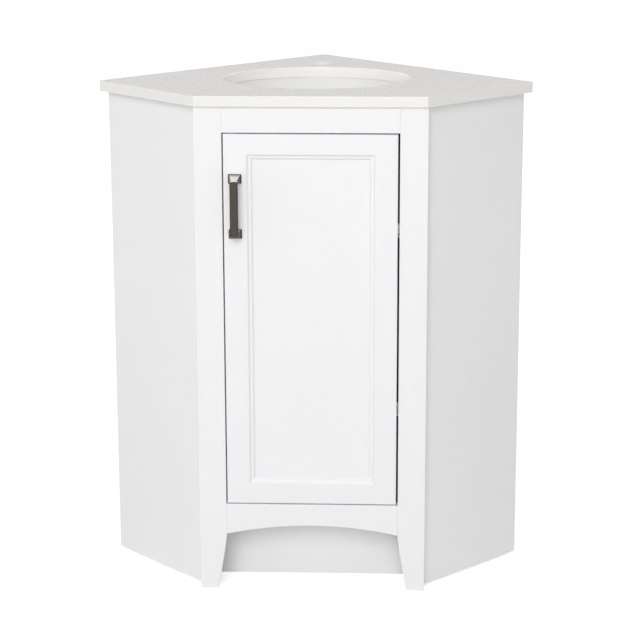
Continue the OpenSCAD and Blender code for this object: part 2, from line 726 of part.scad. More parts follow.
countertop();
basin();
basin_clips();
basin_clip_screws();
face_stile_left();
face_stile_right();
face_top_rail();
face_bottom_rail();
side_panel_left();
side_panel_right();
nailer_left();
nailer_right();
back_rail_left();
back_rail_right();
corner_post();
floor_deck();
deck_cleat();
toe_kick();
hinge_strip();
stop_strip();
corner_braces();
glides();
door_bumpers();
door_stile_left();
door_stile_right();
door_top_rail();
door_bottom_rail();
door_panel();
door_pull();
pull_screws();
hinge_plate_lower();
hinge_plate_upper();
hinge_plate_screws();
hinge_arm_lower();
hinge_arm_upper();
hinge_arm_screws();
hinge_inner_link_lower();
hinge_inner_link_upper();
hinge_outer_link_lower();
hinge_outer_link_upper();
hinge_cup_lower();
hinge_cup_upper();
hinge_cup_screws();
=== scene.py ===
"""Looks of a corner vanity unit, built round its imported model.

The cabinet is white-painted wood and board, the top is honed quartz stone with an
oval china basin under it, and the door hangs on concealed hinges. Lengths in this
file are metres in the model's own frame unless a name ends in _mm.
"""

import math

import bmesh
import bpy
from mathutils import Matrix, Vector
from mathutils.geometry import delaunay_2d_cdt


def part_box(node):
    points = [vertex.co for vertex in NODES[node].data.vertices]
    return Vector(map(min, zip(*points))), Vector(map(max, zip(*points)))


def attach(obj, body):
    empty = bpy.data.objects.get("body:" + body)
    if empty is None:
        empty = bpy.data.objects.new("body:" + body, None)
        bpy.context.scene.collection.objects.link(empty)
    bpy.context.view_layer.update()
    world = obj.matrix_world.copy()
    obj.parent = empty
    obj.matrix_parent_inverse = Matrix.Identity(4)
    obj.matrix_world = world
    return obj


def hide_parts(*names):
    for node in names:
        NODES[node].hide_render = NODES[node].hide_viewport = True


bl_info = {
    "name": "Corner vanity unit",
    "version": (1, 0, 0),
    "blender": (4, 5, 0),
    "location": "View3D > Sidebar > Vanity",
    "description": "Builds the visible pieces and finishes of a corner vanity unit",
    "category": "Object",
}

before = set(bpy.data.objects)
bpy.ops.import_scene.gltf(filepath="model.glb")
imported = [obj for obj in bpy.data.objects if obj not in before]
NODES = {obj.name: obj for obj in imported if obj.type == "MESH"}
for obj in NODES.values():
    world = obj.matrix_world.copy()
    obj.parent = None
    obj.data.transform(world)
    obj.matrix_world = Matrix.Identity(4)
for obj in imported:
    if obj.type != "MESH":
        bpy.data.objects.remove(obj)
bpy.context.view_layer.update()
MM = 0.001
MATH, NOISE = "ShaderNodeMath", "ShaderNodeTexNoise"

# Planes and lines of the cabinet, read from its own boards
FRONT_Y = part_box("face_top_rail")[0].y
FRAME_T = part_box("face_top_rail")[1].y - FRONT_Y
HALF_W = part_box("face_stile_right")[1].x
WALL_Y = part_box("corner_post")[1].y
TOP_LOW, TOP_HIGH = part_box("countertop")[0].z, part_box("countertop")[1].z
DOOR_LOW, DOOR_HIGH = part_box("door_stile_left")[0].z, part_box("door_stile_left")[1].z
PULL_LOW, PULL_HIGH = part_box("door_pull")[0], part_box("door_pull")[1]


# ---- Colours, nodes and meshes ----


def linear(hex_colour):
    """An sRGB hex colour as the linear colour that a shader socket takes."""

    def channel(pair):
        c = int(pair, 16) / 255
        return c / 12.92 if c <= 0.04045 else ((c + 0.055) / 1.055) ** 2.4

    return tuple(channel(hex_colour[i : i + 2]) for i in (1, 3, 5)) + (1.0,)


def add(tree, kind, sockets=None, **settings):
    """Adds a node. sockets maps an input's name or number to what goes into it.

    That is a value, another node's output or a node, which stands for its first output.
    """
    node = tree.nodes.new(kind)
    for name, value in settings.items():
        setattr(node, name, value)
    for key, value in (sockets or {}).items():
        if isinstance(value, bpy.types.Node):
            value = value.outputs[0]
        if isinstance(value, bpy.types.NodeSocket):
            tree.links.new(value, node.inputs[key])
        else:
            node.inputs[key].default_value = value
    return node


def start_material(name, **constants):
    """A material with one Principled shader whose constant sockets are set here."""
    material = bpy.data.materials.new(name)
    material.use_nodes = True
    tree = material.node_tree
    tree.nodes.clear()
    shader = add(tree, "ShaderNodeBsdfPrincipled", constants)
    add(tree, "ShaderNodeOutputMaterial", {"Surface": shader})
    place = add(tree, "ShaderNodeTexCoord").outputs["Object"]
    return material, tree, shader, place


def dimmed(colour, share):
    """A colour whose brightness is scaled by share."""
    return [min(1.0, c * share) for c in colour[:3]] + [1.0]


def vary_surface(tree, shader, by, tones, roughness, relief=None):
    """Runs the surface between two tones and two roughnesses as a pattern rises.

    relief holds the pattern that raises the surface, its height in metres and its strength.
    """
    low, high = tones
    tone = add(tree, "ShaderNodeMix", {0: by, 6: low, 7: high}, data_type="RGBA")
    tree.links.new(tone.outputs[2], shader.inputs["Base Color"])
    vary_finish(tree, shader, by, roughness, relief)


def vary_finish(tree, shader, by, roughness, relief=None):
    """Runs the roughness between two values as a pattern rises, and raises the surface."""
    low, high = roughness
    rough = add(tree, "ShaderNodeMapRange", {"Value": by, "To Min": low, "To Max": high})
    tree.links.new(rough.outputs[0], shader.inputs["Roughness"])
    if relief:
        pattern, height, strength = relief
        sockets = {"Height": pattern, "Distance": height, "Strength": strength}
        bump = add(tree, "ShaderNodeBump", sockets)
        tree.links.new(bump.outputs[0], shader.inputs["Normal"])


def show_where(tree, shader, attribute, hex_colour):
    """Shows another colour as far as an attribute of the mesh says."""
    under = shader.inputs["Base Color"].links[0].from_socket
    mask = add(tree, "ShaderNodeAttribute", attribute_name=attribute).outputs["Fac"]
    sockets = {0: mask, 6: under, 7: linear(hex_colour)}
    both = add(tree, "ShaderNodeMix", sockets, data_type="RGBA")
    tree.links.new(both.outputs[2], shader.inputs["Base Color"])


def start_tree(name, inputs):
    """A Geometry Nodes tree with its inputs, given as (name, socket, default)."""
    tree = bpy.data.node_groups.new(name, "GeometryNodeTree")
    face = tree.interface
    face.new_socket("Geometry", in_out="INPUT", socket_type="NodeSocketGeometry")
    for label, kind, value in (*inputs, ("Material", "Material", None)):
        socket = face.new_socket(label, in_out="INPUT", socket_type="NodeSocket" + kind)
        if value is not None:
            socket.default_value = value
    face.new_socket("Geometry", in_out="OUTPUT", socket_type="NodeSocketGeometry")
    return tree, add(tree, "NodeGroupInput").outputs


def end_tree(tree, geometry, material):
    """Ends a tree with real geometry that carries its material."""
    real = add(tree, "GeometryNodeRealizeInstances", {"Geometry": geometry})
    done = add(tree, "GeometryNodeSetMaterial", {"Geometry": real, "Material": material})
    add(tree, "NodeGroupOutput", {0: done})
    return tree


def bake(obj):
    """Turns the object's evaluated shape into its plain mesh and drops its modifiers."""
    bpy.context.view_layer.update()
    graph = bpy.context.evaluated_depsgraph_get()
    mesh = bpy.data.meshes.new_from_object(obj.evaluated_get(graph))
    obj.modifiers.clear()
    old = obj.data
    obj.data = mesh
    bpy.data.meshes.remove(old)
    mesh.name = obj.name
    return obj


def new_object(name, bm):
    """An object made from bm, which is freed."""
    mesh = bpy.data.meshes.new(name)
    bm.to_mesh(mesh)
    bm.free()
    obj = bpy.data.objects.new(name, mesh)
    bpy.context.scene.collection.objects.link(obj)
    return obj


def soften(obj, angle=35):
    """Smooth shading that keeps edges sharper than angle, with flat faces kept flat."""
    for face in obj.data.polygons:
        face.use_smooth = True
    obj.data.set_sharp_from_angle(angle=math.radians(angle))
    weighted = obj.modifiers.new("flat faces", "WEIGHTED_NORMAL")
    weighted.keep_sharp = True
    return bake(obj)


def finish_piece(obj, material, body, slot, *nodes):
    """Gives a piece its material and body, and hides the nodes that it stands for. slot is not
    used.
    """
    obj.data.materials.clear()
    obj.data.materials.append(material)
    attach(obj, body)
    if nodes:
        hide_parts(*nodes)


def coat_node(node, material):
    """Puts a material on a node that is shown as it is."""
    mesh = NODES[node].data
    mesh.materials.clear()
    mesh.materials.append(material)


def ring(bm, points, z):
    return [bm.verts.new((x, y, z)) for x, y in points]


def join_rings(bm, rings):
    """Faces between each ring of points and the next."""
    for low, high in zip(rings, rings[1:]):
        n = len(low)
        for i in range(n):
            j = (i + 1) % n
            bm.faces.new((low[i], low[j], high[j], high[i]))


def inside(point, loop):
    """True if a point lies within a closed line of points."""
    x, y = point
    odd = False
    for i, p in enumerate(loop):
        q = loop[i - 1]
        if (p[1] > y) != (q[1] > y):
            if x < p[0] + (y - p[1]) * (q[0] - p[0]) / (q[1] - p[1]):
                odd = not odd
    return odd


def cap(bm, outline, holes):
    """Fills the flat area within an outline and outside the holes."""
    loops = [outline, *holes]
    verts = [v for loop in loops for v in loop]
    edges, start = [], 0
    for loop in loops:
        n = len(loop)
        edges += [(start + i, start + (i + 1) % n) for i in range(n)]
        start += n
    made = delaunay_2d_cdt([v.co.xy for v in verts], edges, [], 1, 1e-9)
    points, faces, origin = made[0], made[2], made[3]
    for face in faces:
        middle = sum((points[k] for k in face), Vector((0, 0))) / len(face)
        if not any(inside(middle, [v.co.xy for v in hole]) for hole in holes):
            bm.faces.new([verts[origin[k][0]] for k in face])


def rounded_outline(points, radii, steps=8):
    """A closed outline whose corners are rounded."""
    out = []
    for i, p in enumerate(points):
        u = (points[i - 1] - p).normalized()
        v = (points[(i + 1) % len(points)] - p).normalized()
        half = u.angle(v) / 2
        centre = p + (u + v).normalized() * radii[i] / math.sin(half)
        a = p + u * radii[i] / math.tan(half) - centre
        b = p + v * radii[i] / math.tan(half) - centre
        turn = math.copysign(math.pi - 2 * half, a.x * b.y - a.y * b.x)
        for k in range(steps + 1):
            w = turn * k / steps
            c, s = math.cos(w), math.sin(w)
            out.append(centre + Vector((a.x * c - a.y * s, a.x * s + a.y * c)))
    return out


def rounded_rectangle(width, height, radius, steps):
    """A rectangle about the origin with rounded corners."""
    x, y = width / 2, height / 2
    corners = [Vector(p) for p in ((x, -y), (x, y), (-x, y), (-x, -y))]
    return rounded_outline(corners, [radius] * 4, steps)


def edge_profile(low, high, low_round, high_round, steps=5):
    """(inset, height) pairs up a slab's edge whose two arrises are rounded."""
    out = []
    for i in range(steps + 1):
        a = math.pi / 2 * i / steps
        out.append((low_round * (1 - math.sin(a)), low + low_round * (1 - math.cos(a))))
    for i in range(steps + 1):
        a = math.pi / 2 * i / steps
        out.append((high_round * (1 - math.cos(a)), high - high_round * (1 - math.sin(a))))
    return out


# ---- Sizes and colours a user may change ----


def colour_property(name, description, hex_colour):
    return bpy.props.FloatVectorProperty(
        name=name,
        description=description,
        subtype="COLOR",
        size=4,
        min=0.0,
        max=1.0,
        default=linear(hex_colour),
    )


def length_property(name, description, default_mm, low_mm=0, high_mm=1000):
    return bpy.props.FloatProperty(
        name=name,
        description=description,
        unit="LENGTH",
        subtype="DISTANCE",
        precision=4,
        min=low_mm * MM,
        max=high_mm * MM,
        default=default_mm * MM,
    )


class VanityFinishes(bpy.types.PropertyGroup):
    """Colours of the finishes"""

    paint: colour_property("Paint", "Satin paint on the door, frame and sides", "#F0F0F1")
    inside: colour_property("Inside boards", "Matt primer inside the cabinet", "#E9E9E7")
    stone: colour_property("Stone", "Ground colour of the quartz top", "#E3E2DF")
    glaze: colour_property("Glaze", "Vitreous china of the basin", "#FAF9F7")
    dark_nickel: colour_property("Dark nickel", "Brushed plating of the pull", "#423E3A")
    nickel: colour_property("Nickel", "Bright plating of hinges and screws", "#B8B6B0")
    # The seal's near-black colour is painted shade: it darkens the door's side gaps
    gap_shade_seal: colour_property("Gap shade seal", "Foam tape behind the door's side gaps", "#262524")


class VanitySizes(bpy.types.PropertyGroup):
    """Sizes of the shaped pieces"""

    arris: length_property("Arris", "Rounding of the painted boards' edges", 0.7, 0.1, 2)
    stone_arris: length_property("Stone arris", "Rounding of the top's outer edges", 1.5, 0.2, 6)
    oval_arris: length_property("Oval arris", "Rounding of the oval's upper edge", 2.5, 0.2, 6)
    front_overhang: length_property("Front overhang", "Top past the face frame", 8)
    side_overhang: length_property("Side overhang", "Top past the side panels", 18)
    wall_overhang: length_property("Wall overhang", "Top past the rails at the walls", 5)
    corner_round: length_property("Back corner", "Radius at the room's corner", 10)
    tip_round: length_property("Other corners", "Radius at the other four corners", 5)
    oval_length: length_property("Oval length", "Opening, side to side", 336)
    oval_width: length_property("Oval width", "Opening, front to back", 288)
    oval_setback: length_property("Oval setback", "Face frame to the oval's middle", 228)
    tap_setback: length_property("Tap setback", "Face frame to the tap hole", 430)
    tap_radius: length_property("Tap hole", "Radius of the tap hole", 17.5)
    drain_radius: length_property("Drain", "Radius of the drain hole", 22.25)


# ---- Materials ----


def satin_paint(colour, name="Satin sprayed enamel on wood"):
    """Sprayed and rubbed down: an even white with a soft sheen and a faint orange peel."""
    material, tree, shader, place = start_material(name, IOR=1.5)
    # Spray passes vary the tone by about one percent over a hand's width
    cloud = add(tree, NOISE, {"Vector": place, "Scale": 1 / 0.14, "Detail": 2.0})
    # Orange peel is about 1 mm across; it is drawn at 3 mm so that it shows
    peel = add(tree, NOISE, {"Vector": place, "Scale": 1 / 0.003, "Detail": 1.5})
    # Grain telegraphs through the paint as long faint ripples, 4 mm wide, up the boards
    stretch = add(tree, "ShaderNodeMapping", {"Vector": place, "Scale": (1.0, 1.0, 0.03)})
    ripples = {"Vector": stretch, "Scale": 1 / 0.004, "Detail": 3.0}
    grain = add(tree, NOISE, ripples)
    both = {0: grain, 1: 0.55, 2: peel}
    relief = add(tree, MATH, both, operation="MULTIPLY_ADD")
    tones = (dimmed(colour, 0.975), colour)
    vary_surface(tree, shader, cloud, tones, (0.33, 0.44), (relief, 0.00006, 0.5))
    return material


def matt_primer(colour):
    """Rolled primer on plywood: flat, a little grey, with the roller's stipple."""
    material, tree, shader, place = start_material("Matt primer on plywood", IOR=1.5)
    # The roller's passes vary the tone over about 50 mm
    patch = add(tree, NOISE, {"Vector": place, "Scale": 1 / 0.05, "Detail": 4.0})
    # Roller stipple, 2 mm apart
    stipple = add(tree, NOISE, {"Vector": place, "Scale": 1 / 0.002, "Detail": 2.0})
    tones, relief = (dimmed(colour, 0.93), colour), (stipple, 0.00015, 0.6)
    vary_surface(tree, shader, patch, tones, (0.6, 0.75), relief)
    return material


def honed_quartz(colour):
    """Pressed quartz and resin, honed: warm off-white with fine grit and a low sheen."""
    material, tree, shader, place = start_material("Honed quartz stone", IOR=1.52)
    # Grit of about 1.1 mm
    grit = add(tree, "ShaderNodeTexVoronoi", {"Vector": place, "Scale": 1 / 0.0011}, feature="F1")
    shade = add(tree, "ShaderNodeSeparateColor", {0: grit.outputs["Color"]})
    # Pressing leaves clouds some 45 mm wide
    cloud = add(tree, NOISE, {"Vector": place, "Scale": 1 / 0.045, "Detail": 3.0})
    both = {0: cloud, 1: 0.6, 2: shade}
    mixed = add(tree, MATH, both, operation="MULTIPLY_ADD")
    tone = add(tree, "ShaderNodeValToRGB", {0: mixed})
    # Few grains are dark, most have the ground colour, and few are paler
    dark, pale = tone.color_ramp.elements
    dark.position, dark.color = 0.12, dimmed(colour, 0.98)
    pale.position, pale.color = 0.8125, dimmed(colour, 1.01)
    tone.color_ramp.elements.new(0.3).color = colour
    tree.links.new(tone.outputs[0], shader.inputs["Base Color"])
    # The cut edges are polished, which closes the pores and shows the stone paler.
    # The paler colour is also painted light that lifts the shade on the cut walls, most of all in
    # the oval and the tap hole
    show_where(tree, shader, "edge_polish_and_painted_light", "#FCFBF8")
    relief = (grit.outputs["Distance"], 0.00004, 0.25)
    vary_finish(tree, shader, shade.outputs[1], (0.26, 0.4), relief)
    return material


def glazed_china(colour):
    """Slip-cast and glazed: warm white under a thick, glossy, slightly wavy glaze."""
    material, tree, shader, place = start_material(
        "Glazed vitreous china", **{"IOR": 1.52, "Coat Weight": 0.4, "Coat Roughness": 0.03}
    )
    # The glaze pools over some 70 mm
    pool = add(tree, NOISE, {"Vector": place, "Scale": 1 / 0.07, "Detail": 2.0})
    # The glaze draws into waves some 12 mm long
    wave = add(tree, NOISE, {"Vector": place, "Scale": 1 / 0.012, "Detail": 1.0})
    tones, relief = (dimmed(colour, 0.96), colour), (wave, 0.0002, 0.3)
    vary_surface(tree, shader, pool, tones, (0.07, 0.14), relief)
    return material


def brushed_dark_nickel(colour):
    """Plated zinc, brushed along its length and darkened, with a painted highlight on its upward
    facets.
    """
    material, tree, shader, place = start_material("Brushed dark nickel", Metallic=1.0)
    # Brush lines are 0.1 mm apart; they are drawn at 0.35 mm so that they show
    along = add(tree, "ShaderNodeMapping", {"Vector": place, "Scale": (1.0, 1.0, 0.02)})
    brush = {"Vector": along, "Scale": 1 / 0.00035, "Detail": 2.0}
    lines = add(tree, NOISE, brush)
    tones = (dimmed(colour, 0.75), dimmed(colour, 1.25))
    vary_surface(tree, shader, lines, tones, (0.26, 0.4), (lines, 0.00002, 0.4))
    # The facets that face up, over the bar's upper end, take a pale colour: a painted highlight
    # that stands in for a reflection of the light above
    show_where(tree, shader, "painted_highlight", "#E8E4DF")
    return material


def nickel_plate(colour):
    """Pressed steel, nickel plated: bright, with a slight haze from the press."""
    material, tree, shader, place = start_material("Nickel-plated pressed steel", Metallic=1.0)
    # Haze in patches of about 4 mm
    haze = add(tree, NOISE, {"Vector": place, "Scale": 1 / 0.004, "Detail": 3.0})
    tones, relief = (dimmed(colour, 0.85), colour), (haze, 0.00003, 0.3)
    vary_surface(tree, shader, haze, tones, (0.18, 0.34), relief)
    return material


def moulded_nylon():
    """Injection-moulded nylon: off-white, faintly waxy, with a spark-eroded texture."""
    material, tree, shader, place = start_material(
        "Moulded nylon", **{"IOR": 1.53, "Subsurface Weight": 0.1, "Subsurface Scale": 0.002}
    )
    # The eroded texture is finer; it is drawn at 1.2 mm so that it shows
    spark = add(tree, NOISE, {"Vector": place, "Scale": 1 / 0.0012, "Detail": 2.0})
    tones, relief = (linear("#D3D2CD"), linear("#DFDED9")), (spark, 0.00005, 0.5)
    vary_surface(tree, shader, spark, tones, (0.42, 0.55), relief)
    return material


def cast_polyurethane():
    """Cast clear polyurethane: soft, glass-like domes with a slight surface haze."""
    material, tree, shader, place = start_material(
        "Clear cast polyurethane", **{"IOR": 1.5, "Transmission Weight": 0.85}
    )
    # Haze in patches of about 2 mm
    haze = add(tree, NOISE, {"Vector": place, "Scale": 1 / 0.002, "Detail": 2.0})
    tones = (linear("#E6E6E2"), linear("#F2F2F0"))
    vary_surface(tree, shader, haze, tones, (0.12, 0.25))
    return material


def gap_shade_foam(colour):
    """Closed-cell foam tape, near black as painted shade in the door's gaps: dull, with fine pores
    in its skin.
    """
    material, tree, shader, place = start_material("Closed-cell foam tape as painted gap shade", IOR=1.45)
    # Pores about 0.6 mm apart
    pores = add(tree, "ShaderNodeTexVoronoi", {"Vector": place, "Scale": 1 / 0.0006}, feature="F1")
    depth = pores.outputs["Distance"]
    tones = (dimmed(colour, 0.6), colour)
    vary_surface(tree, shader, depth, tones, (0.95, 0.8), (depth, 0.0001, 0.5))
    return material


# ---- Stone top ----


def top_outline(sizes, inset):
    """Outline of the stone top, drawn in by inset all round."""
    root2 = math.sqrt(2)
    front = inset - sizes.front_overhang
    side = HALF_W - FRAME_T + (sizes.side_overhang - inset) * root2
    wall = WALL_Y - FRONT_Y + (sizes.wall_overhang - inset) * root2
    right = [(side + front, front), ((side + wall) / 2, (wall - side) / 2)]
    left = [(-x, y) for x, y in reversed(right)]
    points = [Vector(p) for p in (*right, (0, wall), *left)]
    tip, back = sizes.tip_round - inset, sizes.corner_round - inset
    rounded = rounded_outline(points, [tip, tip, back, tip, tip])
    return [(p.x, p.y + FRONT_Y) for p in rounded]


def oval(half_x, half_y, centre_y, grow, count=192):
    """Points of an oval, moved outwards by grow along its normals."""
    out = []
    for i in range(count):
        a = 2 * math.pi * i / count
        normal = Vector((math.cos(a) / half_x, math.sin(a) / half_y)).normalized()
        x = half_x * math.cos(a) + normal.x * grow
        y = centre_y + half_y * math.sin(a) + normal.y * grow
        out.append((x, y))
    return out


OVAL_LOWER_ARRIS = 0.5 * MM
TAP_LOWER_ARRIS, TAP_UPPER_ARRIS = 0.4 * MM, 0.6 * MM
# Share of the paler edge colour on the outer edge; in the oval and the tap hole the full share is
# partly polish and partly painted light on their shaded walls
OUTER_POLISH_AND_PAINTED_LIGHT = 0.3  # against 1 at the oval and the tap hole


class VANITY_OT_stone_top(bpy.types.Operator):
    """Builds the stone top with its oval opening and tap hole"""

    bl_idname = "vanity.stone_top"
    bl_label = "Stone top"

    def execute(self, context):
        sizes = context.scene.vanity_sizes
        bm = bmesh.new()
        oval_y = FRONT_Y + sizes.oval_setback
        tap_y = FRONT_Y + sizes.tap_setback
        outer = [
            ring(bm, top_outline(sizes, inset), z)
            for inset, z in edge_profile(TOP_LOW, TOP_HIGH, sizes.stone_arris, sizes.stone_arris)
        ]
        opening = [
            ring(bm, oval(sizes.oval_length / 2, sizes.oval_width / 2, oval_y, grow), z)
            for grow, z in edge_profile(TOP_LOW, TOP_HIGH, OVAL_LOWER_ARRIS, sizes.oval_arris)
        ]
        tap = [
            ring(bm, oval(sizes.tap_radius, sizes.tap_radius, tap_y, grow, 64), z)
            for grow, z in edge_profile(TOP_LOW, TOP_HIGH, TAP_LOWER_ARRIS, TAP_UPPER_ARRIS, 3)
        ]
        # The paler edge colour is polish and painted light together, at full share in the shaded
        # oval and tap hole
        edge = bm.faces.layers.float.new("edge_polish_and_painted_light")
        for rings, polish_and_painted_light in ((outer, OUTER_POLISH_AND_PAINTED_LIGHT), (opening, 1.0), (tap, 1.0)):
            join_rings(bm, rings)
            for f in bm.faces:
                f[edge] = f[edge] or polish_and_painted_light
        for end in (0, -1):
            cap(bm, outer[end], [opening[end], tap[end]])
        bmesh.ops.recalc_face_normals(bm, faces=bm.faces)
        top = soften(new_object("stone_top", bm))
        stone = honed_quartz(context.scene.vanity_finishes.stone)
        finish_piece(top, stone, "cabinet", "stone_top", "countertop")
        return {"FINISHED"}


# ---- Basin ----

BOWL_DEPTH = 148 * MM
BOWL_WALL = 8 * MM
FLANGE_WIDTH = 20 * MM
FLANGE_THICK = 10 * MM
REVEAL = 1.5 * MM  # the bowl is this much wider than the oval all round
DRAIN_FLAT = 42 * MM
OVERFLOW_Z = -36 * MM
OVERFLOW_END = 84  # turn down the bowl's wall, in degrees, where the channel ends
HOLE_RADIUS, HOLE_LENGTH = 3.5 * MM, 26 * MM
HOLES_X = (-10 * MM, 0, 10 * MM)
# Width, distances from the bowl's inner face, turn where it starts, and softening
OVERFLOW_RIB = (34 * MM, BOWL_WALL - 5 * MM, BOWL_WALL + 13 * MM, 24, 4 * MM)
OVERFLOW_CHANNEL = (22 * MM, BOWL_WALL - 1 * MM, BOWL_WALL + 8 * MM, 29, 2 * MM)
DISH_SEGMENTS = 160
ROUND_FLOOR = 12 * MM  # the dish is round this far past the drain's edge
OVAL_FROM = 95 * MM  # and fully oval from this radius outwards
LEAST_FACES = 5000  # fewer are left only where a cut has failed
SHARP = math.radians(50)


def bowl_point(rim, t, out):
    """(radius, height) on the bowl's wall: t is 0 at the rim and 90 at the drain."""
    c, s = math.cos(math.radians(t)), math.sin(math.radians(t))
    return (
        DRAIN_FLAT + (rim - DRAIN_FLAT) * c**0.72 + out * c,
        -BOWL_DEPTH * s**0.86 - out * s,
    )


def basin_profile(rim, drain):
    """The closed half section of basin and flange, from the drain's upper edge round."""
    inner = [bowl_point(rim, t, 0) for t in [90 - 90 * (i / 44) for i in range(45)]]
    outer = [bowl_point(rim, t, BOWL_WALL) for t in [90 * i / 40 for i in range(41)]]
    flange = rim + FLANGE_WIDTH
    floor, under = -BOWL_DEPTH, -BOWL_DEPTH - BOWL_WALL
    seat, lip = drain + 8 * MM, floor - 1.5 * MM
    fillet = 5 * MM
    low = [p for p in outer if p[1] < -FLANGE_THICK - fillet]
    first = low[0]
    points = [(drain, lip - 0.6 * MM), (drain + 0.6 * MM, lip), (seat - 0.8 * MM, lip)]
    points += [(seat, lip + 0.5 * MM), (seat + 0.6 * MM, floor - 0.1 * MM), (seat + 2 * MM, floor)]
    points += inner[:-1]
    points += [(rim - 0.15 * MM, -0.8 * MM), (rim + 0.5 * MM, -0.1 * MM), (rim + 1.2 * MM, 0)]
    points += [(flange - 2 * MM, 0), (flange - 0.6 * MM, -0.6 * MM), (flange, -2 * MM)]
    points += [(flange, -FLANGE_THICK + 1.5 * MM), (flange - 0.5 * MM, -FLANGE_THICK + 0.4 * MM)]
    points += [(flange - 1.5 * MM, -FLANGE_THICK), (first[0] + fillet, -FLANGE_THICK)]
    for i in (1, 2, 3):
        a = math.pi / 2 * i / 4
        out, down = fillet * (1 - math.sin(a)), fillet * (1 - math.cos(a))
        points.append((first[0] + out, -FLANGE_THICK - down))
    points += low
    points += [(drain + 10 * MM, under), (drain + 9 * MM, under - 1 * MM)]
    points += [(drain + 9 * MM, under - 5 * MM), (drain + 8 * MM, under - 6 * MM)]
    points += [(drain + 0.8 * MM, under - 6 * MM), (drain, under - 5.2 * MM)]
    return points + points[:1]


def turned_tree():
    """Geometry Nodes tree that turns a half section into a closed dish.

    The input mesh holds the section's points, x as radius and y as height. The dish is
    drawn in front to back by Squash beyond the Blend radius, and round within Round.
    """
    inputs = (
        ("Segments", "Int", DISH_SEGMENTS),
        ("Squash", "Float", 0.8),
        ("Round", "Float", 0.03),
        ("Blend", "Float", 0.08),
        ("Centre", "Vector", (0.0, 0.0, 0.0)),
    )
    tree, given = start_tree("Turned oval dish", inputs)
    count = add(tree, "GeometryNodeAttributeDomainSize", {"Geometry": given["Geometry"]})
    columns = add(tree, MATH, {0: given["Segments"], 1: 1.0}, operation="ADD")
    size = {"Size X": 1.0, "Size Y": 1.0, "Vertices X": columns, "Vertices Y": count}
    grid = add(tree, "GeometryNodeMeshGrid", size)
    here = add(tree, "ShaderNodeSeparateXYZ", {0: add(tree, "GeometryNodeInputPosition")})
    # The grid's x becomes the turn, and its y counts the section's points
    along = {0: here.outputs[0], 1: 2 * math.pi, 2: math.pi}
    angle = add(tree, MATH, along, operation="MULTIPLY_ADD")
    last = add(tree, MATH, {0: count, 1: 1.0}, operation="SUBTRACT")
    share = add(tree, MATH, {0: here.outputs[1], 1: 0.5}, operation="ADD")
    row = add(tree, MATH, {0: share, 1: last}, operation="MULTIPLY")
    point = {
        "Geometry": given["Geometry"],
        "Value": add(tree, "GeometryNodeInputPosition"),
        "Index": add(tree, MATH, {0: row}, operation="ROUND"),
    }
    section = add(tree, "GeometryNodeSampleIndex", point, data_type="FLOAT_VECTOR")
    radius, height, _ = add(tree, "ShaderNodeSeparateXYZ", {0: section}).outputs
    press = {
        "Value": radius,
        "From Min": given["Round"],
        "From Max": given["Blend"],
        "To Min": 1.0,
        "To Max": given["Squash"],
    }
    pressed = add(tree, "ShaderNodeMapRange", press, interpolation_type="SMOOTHSTEP")
    cosine = add(tree, MATH, {0: angle}, operation="COSINE")
    sine = add(tree, MATH, {0: angle}, operation="SINE")
    x = add(tree, MATH, {0: radius, 1: cosine}, operation="MULTIPLY")
    flat = add(tree, MATH, {0: radius, 1: sine}, operation="MULTIPLY")
    y = add(tree, MATH, {0: flat, 1: pressed}, operation="MULTIPLY")
    spot = add(tree, "ShaderNodeCombineXYZ", {0: x, 1: y, 2: height})
    shift = {0: spot, 1: given["Centre"]}
    moved = add(tree, "ShaderNodeVectorMath", shift, operation="ADD")
    dish = add(tree, "GeometryNodeSetPosition", {"Geometry": grid, "Position": moved})
    closed = add(tree, "GeometryNodeMergeByDistance", {"Geometry": dish, "Distance": 1e-6})
    return end_tree(tree, closed, given["Material"])


def run_tree(obj, tree, values):
    """Runs a Geometry Nodes tree on an object, which keeps its result as a plain mesh."""
    modifier = obj.modifiers.new("shape", "NODES")
    modifier.node_group = tree
    ids = {s.name: s.identifier for s in tree.interface.items_tree if s.in_out == "INPUT"}
    for name, value in values.items():
        modifier[ids[name]] = value
    bake(obj)


def carve(piece, tool, operation):
    """Adds a tool's shape to a piece or cuts it away, and removes the tool."""
    modifier = piece.modifiers.new("carve", "BOOLEAN")
    modifier.solver = "EXACT"
    modifier.operation = operation
    modifier.object = tool
    bake(piece)
    mesh = tool.data
    bpy.data.objects.remove(tool)
    bpy.data.meshes.remove(mesh)


def overflow_tool(name, rim, squash, centre, shape):
    """A solid down the bowl's front wall, with softened edges."""
    width, near, far, start, soft = shape
    turn, end = OVERFLOW_END - start, OVERFLOW_END
    line = [bowl_point(rim, start + turn * i / 12, near) for i in range(13)]
    line += [bowl_point(rim, end - turn * i / 12, far) for i in range(13)]
    bm = bmesh.new()
    sides = [
        [bm.verts.new(centre + Vector((x, -r * squash, z))) for r, z in line]
        for x in (-width / 2, width / 2)
    ]
    join_rings(bm, sides)
    bm.faces.new(sides[0])
    bm.faces.new(sides[1])
    bmesh.ops.recalc_face_normals(bm, faces=bm.faces)
    edges = [e for e in bm.edges if e.calc_face_angle() > SHARP]
    bmesh.ops.bevel(bm, geom=edges, offset=soft, segments=4, profile=0.5, affect="EDGES")
    return new_object(name, bm)


